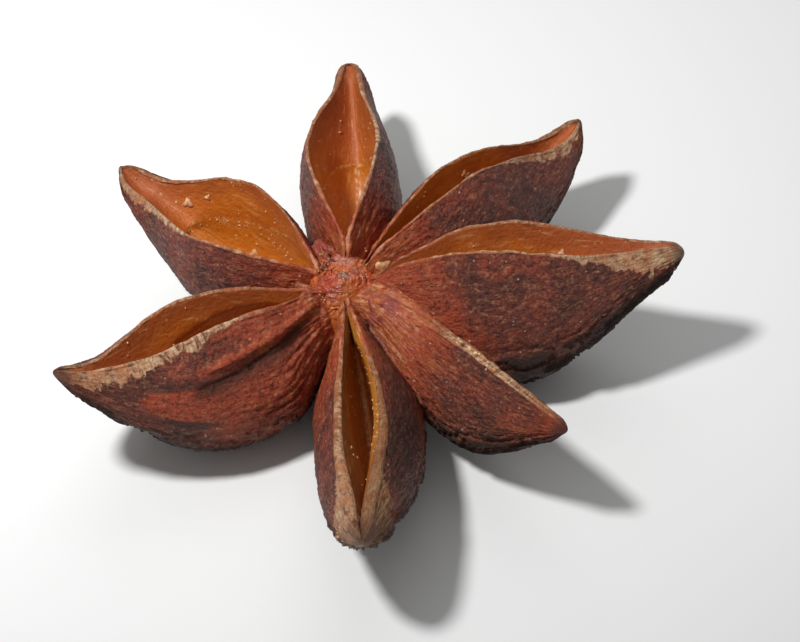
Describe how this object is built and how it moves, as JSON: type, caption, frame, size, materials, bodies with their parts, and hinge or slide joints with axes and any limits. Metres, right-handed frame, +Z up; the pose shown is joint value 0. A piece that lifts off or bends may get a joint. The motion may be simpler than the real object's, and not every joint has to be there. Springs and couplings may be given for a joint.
{
  "type": "star anise pod",
  "caption": "Dried star anise pod: open boat-shaped carpels with upturned beaks, standing on their keels around a small rough hub.",
  "frame": {"origin": "middle of the pod's outline seen from above, at the height of the surface it rests on; the hub's axis stands 1.6 mm towards -X of it", "axes": "+Z up, parallel to the hub's axis, with the carpels' slits facing up; +Y along the carpel called north, across the hub from the one called south"},
  "size_m": [0.0336, 0.0372, 0.0097],
  "materials": {
    "husk": "dry, wrinkled outside and glossy inside the carpels"
  },
  "bodies": {
    "root": {"pod": "husk"}
  },
  "joints": []
}
